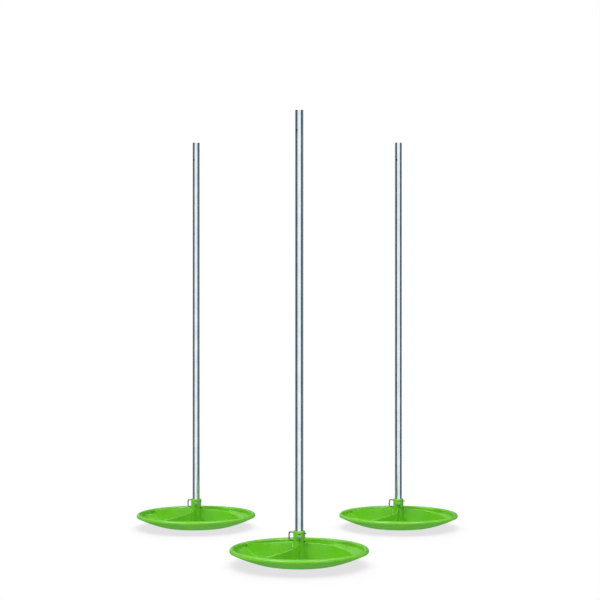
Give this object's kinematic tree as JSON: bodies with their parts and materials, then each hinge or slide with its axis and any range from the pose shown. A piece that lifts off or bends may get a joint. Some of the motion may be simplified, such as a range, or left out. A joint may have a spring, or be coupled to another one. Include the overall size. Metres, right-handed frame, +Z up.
{
  "type": "weave poles",
  "caption": "Free-standing weave poles for dog agility: bare steel tubes locked by a wire pin in the tall sockets of shallow green dishes with swirled ribs.",
  "frame": {"origin": "on the ground, in the middle of the box round the three stands", "axes": "+Z up along the poles; +X from the left stand to the right stand; the single front stand is towards -Y"},
  "size_m": [0.922, 0.94, 1.1],
  "materials": {
    "green_plastic": "injection-moulded polypropylene, satin to glossy",
    "tube_steel": "bright drawn tube with fine lengthwise grain",
    "spring_wire": "dull drawn spring wire",
    "zinc_plated_steel": "bluish zinc plate"
  },
  "bodies": {
    "front_stand": {"front_dish": "green_plastic", "front_pole": "tube_steel", "front_clamp_nut": "zinc_plated_steel"},
    "front_pin": {"front_lock_pin": "spring_wire"},
    "front_screw": {"front_clamp_screw": "zinc_plated_steel"},
    "left_stand": {"left_dish": "green_plastic", "left_pole": "tube_steel", "left_clamp_nut": "zinc_plated_steel"},
    "left_pin": {"left_lock_pin": "spring_wire"},
    "left_screw": {"left_clamp_screw": "zinc_plated_steel"},
    "right_stand": {"right_dish": "green_plastic", "right_pole": "tube_steel", "right_clamp_nut": "zinc_plated_steel"},
    "right_pin": {"right_lock_pin": "spring_wire"},
    "right_screw": {"right_clamp_screw": "zinc_plated_steel"}
  },
  "joints": [
    {"name": "left_placing", "type": "slide", "parent": "front_stand", "child": "left_stand", "axis": [1, 0, 0], "range_m": [-0.3, 0.1]},
    {"name": "right_placing", "type": "slide", "parent": "front_stand", "child": "right_stand", "axis": [1, 0, 0], "range_m": [-0.1, 0.3]},
    {"name": "front_pin_pull", "type": "slide", "parent": "front_stand", "child": "front_pin", "axis": [-0.8192, 0.5736, 0], "range_m": [0, 0.04]},
    {"name": "front_screw_turn", "type": "hinge", "parent": "front_stand", "child": "front_screw", "pos_m": [0.006, -0.3, 0.0624], "axis": [0.0349, -0.9994, 0], "range_deg": [0, 450]},
    {"name": "left_pin_pull", "type": "slide", "parent": "left_stand", "child": "left_pin", "axis": [-0.8192, 0.5736, 0], "range_m": [0, 0.04]},
    {"name": "left_screw_turn", "type": "hinge", "parent": "left_stand", "child": "left_screw", "pos_m": [-0.291, 0.3, 0.0624], "axis": [0.0349, -0.9994, 0], "range_deg": [0, 450]},
    {"name": "right_pin_pull", "type": "slide", "parent": "right_stand", "child": "right_pin", "axis": [-0.8192, 0.5736, 0], "range_m": [0, 0.04]},
    {"name": "right_screw_turn", "type": "hinge", "parent": "right_stand", "child": "right_screw", "pos_m": [0.291, 0.3, 0.0624], "axis": [0.0349, -0.9994, 0], "range_deg": [0, 450]}
  ]
}
